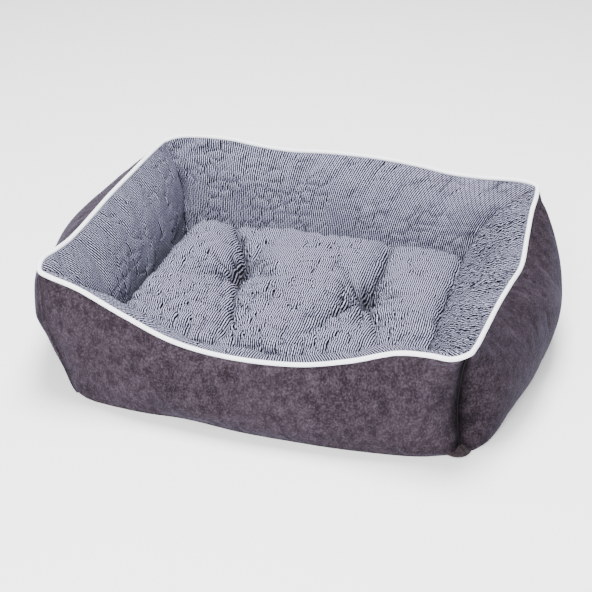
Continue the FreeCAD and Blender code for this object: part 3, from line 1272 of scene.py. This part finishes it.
@dataclass
class RimPiping:
    """The corded piping round the rim."""

    shape: BedShape
    tape: Material
    radius: float = 3.1 * MM

    def build(self) -> None:
        """Sweeps the piping round the rim."""
        loop = np.vstack([self.shape.rim_curve(wall)[:-1] for wall in WALLS]) * MM
        thing = tube("rim_piping_tube", loop, self.radius, True)
        declare(thing, self.tape, "bed", "white_piping", "rim_piping", "rim_piping_cord")
        LOG.info("piping of %d places", len(loop))


class Level(Enum):
    """The two outlines that the base's layers fill."""

    FOOT = "foot"
    FLOOR = "floor"


@dataclass
class Base:
    """The bed's floor: the underside's cloth, the wadding and the plush on top."""

    shape: BedShape
    under: Material
    plush: Material
    fibre: Material
    rings: int = 14
    per_wall: int = 39

    def outline(self, level: Level, grow: float) -> Array:
        """The closed outline of the feet or of the inner floor, in metres.

        Args:
            level: which of the two.
            grow: how far it is moved out, in millimetres.

        Returns:
            The places, in order, at height 0.
        """
        shares = np.linspace(0, 1, self.per_wall + 1)[:-1]
        if level is Level.FOOT:
            lines = [self.shape.feet(wall, shares) for wall in WALLS]
        else:
            lines = [straight(*(corner.floor for corner in wall.corners()), shares) for wall in WALLS]
        ring = np.vstack(lines)
        away = ring - ring.mean(axis=0)
        away /= np.linalg.norm(away, axis=1, keepdims=True)
        return (ring + away * grow) * MM

    def plate(self, name: str, level: Level, grow: float, bottom: float, thickness: float) -> Object:
        """A flat layer that fills an outline.

        Args:
            name: the piece's name.
            level: which outline.
            grow: how far it is moved out, in millimetres.
            bottom: the height of its underside, in metres.
            thickness: its thickness, in metres.

        Returns:
            The layer.
        """
        ring = self.outline(level, grow)
        centre = ring.mean(axis=0)
        places = np.array([centre + (ring - centre) * share for share in np.linspace(1, 0.04, self.rings)])
        places[:, :, 2] = bottom + thickness
        index = np.arange(self.rings * len(ring)).reshape(self.rings, -1)
        following = np.roll(index, -1, axis=1)
        quads = np.stack([index[:-1], following[:-1], following[1:], index[1:]], -1).reshape(-1, 4)
        thing = new_piece(name, places, quads.tolist() + [index[-1].tolist()])
        thicken(thing, thickness)
        return thing

    def build(self) -> None:
        """Makes the base's three layers and its corner fold."""
        base = self.plate("base_sheet", Level.FOOT, -1.0, 0.0, 1.5 * MM)
        declare(base, self.under, "bed", "base_cloth", "base_cloth")
        floor = self.plate("floor_sheet", Level.FLOOR, 1.0, 13.6 * MM, 2.4 * MM)
        declare(floor, self.plush, "bed", "plush", "floor_cloth")
        pad = self.plate("base_pad", Level.FLOOR, -4.0, 1.9 * MM, 11.3 * MM)
        declare(pad, self.fibre, "bed", "polyester_fill", "base_wadding")
        self.ear()
        LOG.info("base layers")

    def ear(self) -> None:
        """Folds the underside's cloth out below the creased corner, where it peeps out."""
        edge_share, up_share = np.linspace(0, 1, 26), np.linspace(0, 1, 14)
        across, up = np.meshgrid(edge_share, up_share)
        lower = through([(243, -203, 2.6), (256, -206, 2.4), (267, -202, 2.4), (274, -190, 2.6),
                         (273, -180, 3.4)], 12)
        apex = np.array([258.0, -188.0, 13.0])
        places = between(along_curve(lower, edge_share)[None], apex, up[..., None])
        turn = -1.9 + across * 1.9
        away = np.stack([np.cos(turn), np.sin(turn), np.full(up.shape, 0.5)], -1)
        crumple = 1.5 + soft_noise(across * 60, up * 14, 8, 91) * 5.5
        places = places + away * (crumple * np.sin(np.pi * up))[..., None]
        piece = cloth_grid("base_corner_fold", places).piece()
        puckers = Puckers(cell=8 * MM, depth=1.6 * MM, width=1.2 * MM, share=1.0, seed=95)
        finish_cloth(piece, 0.9 * MM, puckers)
        declare(piece, self.under, "bed", "base_cloth")


@dataclass(frozen=True)
class Crease:
    """A sewn-in crease of the cushion, in millimetres: its line, and its depth at each end."""

    line: tuple[PlanPoint, ...]
    near: float
    far: float
    width: float

    def depth(self, share: Array) -> Array:
        """How deep it is at shares of its length."""
        return self.near + (self.far - self.near) * share ** 0.8

    def fades(self) -> bool:
        """Whether it runs out into the smooth cloth."""
        return self.far < 4


LEFT_TUFT = (-100.0, 24.0)
RIGHT_TUFT = (90.0, 2.0)
TUFTS = {"left_tuft_stitch": LEFT_TUFT, "right_tuft_stitch": RIGHT_TUFT}
CREASES = (
    Crease((LEFT_TUFT, (-103, 60), (-126, 112), (-156, 166)), 27, 15, 10),
    Crease((LEFT_TUFT, (-92, 62), (-90, 100), (-70, 140)), 18, 3, 9),
    Crease((LEFT_TUFT, (-122, 14), (-150, -2), (-182, -16)), 20, 3, 10),
    Crease((LEFT_TUFT, (-90, -20), (-78, -62), (-66, -105), (-62, -150)), 20, 9, 11),
    Crease((LEFT_TUFT, (-50, 14), (-10, 4)), 9, 1, 12),
    Crease((RIGHT_TUFT, (93, 50), (96, 100), (92, 166)), 27, 12, 10),
    Crease((RIGHT_TUFT, (62, 40), (40, 66)), 17, 1, 9),
    Crease((RIGHT_TUFT, (70, -32), (54, -68), (42, -112)), 24, 8, 9),
    Crease((RIGHT_TUFT, (106, -34), (124, -76), (136, -120)), 22, 5, 9),
    Crease((RIGHT_TUFT, (94, -48), (98, -100)), 18, 3, 8),
    Crease((RIGHT_TUFT, (128, 6), (168, 14)), 11, 1, 12),
)


@dataclass
class LooseCushion:
    """The tufted cushion: a striped top, a plush underside, and fibre between them.

    Its outline and heights are in millimetres. The covers are cut a little larger than
    the outline, and its corners are rounded off. A sewn crease holds the cloth beside its
    line and a tuft holds it round its middle. Both are pressed in once more, sharper, after
    the cloth has settled, and fade towards the edge.
    """

    lining: Material
    plush: Material
    thread: Material
    fibre: Material
    half_length: float = 218.0
    half_width: float = 173.0
    centre: PlanPoint = (-8.0, -1.0)
    edge_height: float = 54.0
    crown_height: float = 97.0
    floor: float = 16.6
    rounding: float = 0.13
    edge_round: float = 24.0
    cut: float = 1.08
    line_hold: float = 3.2
    tuft_hold: float = 5.5
    sharper: float = 0.30
    edge_fade: float = 26.0
    columns: int = 120
    rows: int = 96
    thickness: float = 1.2 * MM
    seam_radius: float = 1.3 * MM
    fibre_gap: float = 6.0 * MM
    quilting: Puckers = Puckers(23 * MM, 5.2 * MM, 3.2 * MM, share=0.2, tilt=-1.3, seed=5, gloom=0.5)
    made: list[Cover] = field(default_factory=list)

    def plan(self, across: Array, along: Array) -> tuple[Array, Array]:
        """Maps a square to the cushion's outline with rounded corners, in millimetres."""
        x = across * np.sqrt(1 - self.rounding * along ** 10 * across ** 2)
        y = along * np.sqrt(1 - self.rounding * across ** 10 * along ** 2)
        # The sides draw in a little where a crease reaches them
        x = x * (1 - 0.008 * np.cos(along * 7.0) * np.abs(across) ** 4)
        y = y * (1 - 0.014 * np.cos(across * 6.5 + 0.4) * np.abs(along) ** 4)
        return x * self.half_length + self.centre[0], y * self.half_width + self.centre[1]

    def height(self, across: Array, along: Array, upper: bool) -> Array:
        """The cushion's height over the square, in millimetres."""
        inset = np.minimum((1 - np.abs(across)) * self.half_length, (1 - np.abs(along)) * self.half_width)
        rise = np.sqrt((1 - (1 - (inset / self.edge_round).clip(0, 1)) ** 2).clip(0, 1))
        if upper:
            dome = 1 - 0.07 * (across ** 2 + along ** 2)
            return self.edge_height + (self.crown_height - self.edge_height) * rise * dome
        return self.edge_height - (self.edge_height - self.floor - 0.4) * rise

    def build(self, room: ClothRoom) -> None:
        """Lays out both covers, pulls in the tufts, and hands the cushion to the cloth room.

        Args:
            room: where it settles.
        """
        across, along = np.meshgrid(np.linspace(-1, 1, self.columns), np.linspace(-1, 1, self.rows))
        x, y = self.plan(across, along)
        flat = np.stack([across * self.half_length, along * self.half_width], -1) * self.cut * MM
        edge = ((1 - np.maximum(np.abs(across), np.abs(along))) * 5).clip(0, 1)
        hold, dip = np.zeros(x.shape), np.zeros(x.shape)
        wander = soft_noise(x, y, 14, 71) * 2.0
        for crease in CREASES:
            gap, share = away_from(crease.line, x, y)
            deep = crease.depth(share)
            fade = 1 - share ** 6 if crease.fades() else 1.0
            dip = np.maximum(dip, deep * fade * np.exp(-((gap + wander).clip(0) / crease.width) ** 0.95))
            hold = np.maximum(hold, np.where(gap < self.line_hold, (deep / 16).clip(0, 0.9), 0))
        top = self.height(across, along, True) - dip * edge
        for name, (tuft_x, tuft_y) in TUFTS.items():
            distance = np.hypot(x - tuft_x, y - tuft_y)
            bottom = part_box(name)[1].z / MM - 3.0
            top = np.minimum(top, between(self.crown_height, bottom, np.exp(-distance / 17)))
            hold[distance < self.tuft_hold] = 1
        # The left rear lobe is the fullest
        top = top + 4.0 * np.exp(-((x + 168) / 52) ** 2 - ((y - 92) / 62) ** 2) * edge
        top = top + ripples(top.shape, (12, 15), 5) * 1.8 * edge
        held = border(x.shape)
        # Few different weights, as each one is a call
        hold = np.round(np.maximum(hold, held), 1)
        upper = ClothGrid("cushion_top", np.stack([x, y, top], -1) * MM, flat, hold)
        under = np.stack([x, y, self.height(across, along, False)], -1) * MM
        # Turned round, so that its face looks down
        lower = ClothGrid("cushion_bottom", under[:, ::-1], flat[:, ::-1], held)
        for grid, pressure, ease, cap, floor in ((upper, 7.0, 0.05, 9 * MM, -1.0),
                                                 (lower, 2.0, 0.01, 4 * MM, self.floor * MM)):
            cover = Cover(grid.piece(), grid, tuple(2 * abs(size) for size in grid.flat[-1, -1]))
            self.made.append(cover)
            room.add(cover.piece, grid.hold.reshape(-1), pressure, ease, cap, floor=floor)

    def dress(self) -> None:
        top, bottom = self.made
        fill = self.stuffing(top.settled(), bottom.settled()[:, ::-1])
        declare(fill, self.fibre, "cushion", "polyester_fill", "cushion_fill")
        rim = top.settled()
        ring = np.vstack([rim[0, :-1], rim[:-1, -1], rim[-1, :0:-1], rim[:0:-1, 0]])
        declare(tube("cushion_edge_seam", ring, self.seam_radius, True), self.plush, "cushion", "plush")
        finish_cloth(top.piece, self.thickness, self.quilting, self.sew)
        finish_cloth(bottom.piece, self.thickness)
        declare(top.piece, self.lining, "cushion", "striped_lining", "cushion_top_panel")
        declare(bottom.piece, self.plush, "cushion", "plush", "cushion_bottom_panel")
        for name in TUFTS:
            wear(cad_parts[name], self.thread)
        LOG.info("cushion, covers %.0f x %.0f mm", top.flat[0] / MM, top.flat[1] / MM)

    def sew(self, mesh: Mesh) -> None:
        """Presses the sewn creases and the tufts into the smoothed top once more, sharper.

        Args:
            mesh: the top cover's mesh.
        """
        places = coordinates_of(mesh)
        x, y = places[:, 0] / MM, places[:, 1] / MM
        flat = np.abs(flat_places(mesh)) / MM
        inset = (flat.max(axis=0) - flat).min(axis=1)
        fade = (inset / self.edge_fade).clip(0, 1)
        wander_x, wander_y = soft_noise(x, y, 15, 81) * 3.5, soft_noise(y, x, 15, 82) * 3.5
        depth, shadow = np.zeros(x.shape), np.zeros(x.shape)
        for crease in CREASES:
            gap, share = away_from(crease.line, x + wander_x, y + wander_y)
            deep = crease.depth(share) * self.sharper * (1 - share ** 5 if crease.fades() else 1.0)
            depth = np.maximum(depth, deep * np.exp(-gap / 5.5))
            shadow = np.maximum(shadow, (deep / 6).clip(0, 1) * np.exp(-(gap / 4.6) ** 1.4))
        for tuft_x, tuft_y in TUFTS.values():
            distance, angle = np.hypot(x - tuft_x, y - tuft_y), np.arctan2(y - tuft_y, x - tuft_x)
            spokes = 0.5 + 0.5 * np.sin(angle * 9 + soft_noise(x, y, 20, 83) * 2.5)
            depth = np.maximum(depth, 7.0 * spokes ** 2 * np.exp(-((distance - 22) / 17) ** 2))
            # Painted shade, darkest behind the tuft, on the far wall of the pit that faces the front
            behind = np.exp(-(np.hypot(x - tuft_x, (y - tuft_y - 14) / 1.5) / 19) ** 2)
            shadow = np.maximum.reduce([shadow, behind, spokes ** 3 * np.exp(-((distance - 26) / 20) ** 2)])
            depth = depth * (distance / 7).clip(0, 1) ** 2
        self.pit(places)
        places[:, 2] -= depth * fade * MM
        mesh.vertices.foreach_set("co", places.reshape(-1))
        # Painted shade along the cushion's left, back and right edges, in the gap beside the linings
        rear = ((y + 110) / 60).clip(0, 1)
        mark(mesh, np.maximum(shadow * fade, 0.6 * rear * np.exp(-(inset / 15) ** 2)))
        mesh.update()

    def pit(self, places: Array) -> None:
        """Draws places down round the tufts, in place.

        Args:
            places: positions in metres, x, y and z last.
        """
        for name, (tuft_x, tuft_y) in TUFTS.items():
            distance = np.hypot(places[..., 0] / MM - tuft_x, places[..., 1] / MM - tuft_y)
            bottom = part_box(name)[1].z - 2.8 * MM
            drawn = np.exp(-(distance / 12) ** 1.3)
            places[..., 2] -= (places[..., 2] - bottom).clip(0) * drawn

    def stuffing(self, top: Array, bottom: Array) -> Object:
        """The fibre inside the cushion.

        Args:
            top: the top cover's settled grid.
            bottom: the lower cover's settled grid, in the same order.

        Returns:
            The closed body of fibre.
        """
        top = top.copy()
        self.pit(top)
        upper, lower = top[3:-3:3, 3:-3:3].copy(), bottom[3:-3:3, 3:-3:3].copy()
        # The lowest place near each one keeps the fibre below the cloth in the pits
        around = [np.roll(top[:, :, 2], (i, j), (0, 1))[3:-3:3, 3:-3:3]
                  for i in range(-3, 4) for j in range(-3, 4)]
        upper[:, :, 2] = np.maximum(np.minimum.reduce(around) - self.fibre_gap, lower[:, :, 2] + 5 * MM)
        lower[:, :, 2] += 3.0 * MM
        loop = np.vstack([upper, lower[::-1]])
        return closed_tube("cushion_stuffing", loop)


@dataclass(frozen=True)
class Softbox:
    """A square lamp that faces the bed, in metres and watts."""

    name: str
    place: Point
    size: float
    power: float

    def hang(self) -> None:
        """Adds the lamp."""
        light = bpy.data.lights.new(self.name, "AREA")
        light.size = self.size
        light.energy = self.power
        lamp = bpy.data.objects.new(self.name, light)
        bpy.context.scene.collection.objects.link(lamp)
        lamp.location = self.place
        lamp.rotation_euler = (Vector((0, 0, 0.1)) - Vector(self.place)).to_track_quat("-Z", "Y").to_euler()


@dataclass
class Studio:
    """Pale floor, soft light and the camera."""

    azimuth: float = 16.3
    elevation: float = 29.9
    distance: float = 1.677
    target_height: float = 0.080
    lens: float = 72.97
    shift: PlanPoint = (-0.01014, -0.00338)
    lamps: tuple[Softbox, ...] = (
        Softbox("key", (-1.3, -1.9, 2.0), 1.2, 20),
        Softbox("front", (0.4, -2.6, 1.9), 1.3, 192),
        Softbox("top", (0.0, 0.2, 2.9), 1.1, 200),
    )

    def build(self) -> None:
        """Sets the floor, the lights and the camera."""
        bpy.ops.object.select_all(action="DESELECT")
        bpy.ops.mesh.primitive_plane_add(size=14, location=(0, 0, 0))
        floor = bpy.context.object
        floor.name = "studio_floor"
        pale, paler = tone(0.975, 0.975, 0.98), tone(0.985, 0.985, 0.99)
        wear(floor, PlainCloth("studio_paper", pale, paler, 4 * MM, 0.02 * MM).material())
        world = bpy.data.worlds.new("studio")
        bpy.context.scene.world = world
        world.use_nodes = True
        sky = world.node_tree.nodes["Background"]
        sky.inputs["Color"].default_value = (0.95, 0.97, 1.0, 1.0)
        sky.inputs["Strength"].default_value = 0.8
        for lamp in self.lamps:
            lamp.hang()
        self.camera()

    def camera(self) -> None:
        """Places the camera."""
        turn, lift = math.radians(self.azimuth), math.radians(self.elevation)
        back = Vector((math.sin(turn) * math.cos(lift), -math.cos(turn) * math.cos(lift), math.sin(lift)))
        data = bpy.data.cameras.new("camera")
        data.lens = self.lens
        data.sensor_width = 36.0
        data.shift_x, data.shift_y = self.shift
        camera = bpy.data.objects.new("camera", data)
        bpy.context.scene.collection.objects.link(camera)
        camera.location = Vector((0, 0, self.target_height)) + back * self.distance
        camera.rotation_euler = (math.pi / 2 - lift, 0, turn)
        bpy.context.scene.camera = camera


def main() -> None:
    """Builds the bed, piece by piece, and the studio round it."""
    logging.basicConfig(level=logging.INFO, format="%(name)s: %(message)s")
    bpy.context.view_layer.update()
    lining, plush = DashedLining().material(), BrushedPlush().material()
    seam = BrushedPlush("seam_plush").material()
    # A dark cloth for the seam in the deepest corner crease, as painted shade
    painted_shade = PlainCloth("seam_shade_plush", tone(0.05, 0.045, 0.05), tone(0.08, 0.07, 0.08)).material()
    fibre = PlainCloth("loose_fibre", tone(0.86, 0.86, 0.85), tone(0.95, 0.95, 0.94)).material()
    under = PlainCloth("base_cloth", tone(0.13, 0.11, 0.12), tone(0.22, 0.195, 0.205)).material()
    thread = PlainCloth("thread", tone(0.10, 0.09, 0.10), tone(0.16, 0.14, 0.15), 0.5 * MM).material()
    Studio().build()
    shape, room = BedShape(), ClothRoom()
    walls = StuffedWalls(shape, plush, lining, fibre, seam, painted_shade)
    walls.build(room)
    cushion = LooseCushion(lining, plush, thread, fibre)
    cushion.build(room)
    room.settle()
    walls.dress()
    cushion.dress()
    RimPiping(shape, PipingTape().material()).build()
    Base(shape, under, plush, fibre).build()


if __name__ == "__main__":
    main()
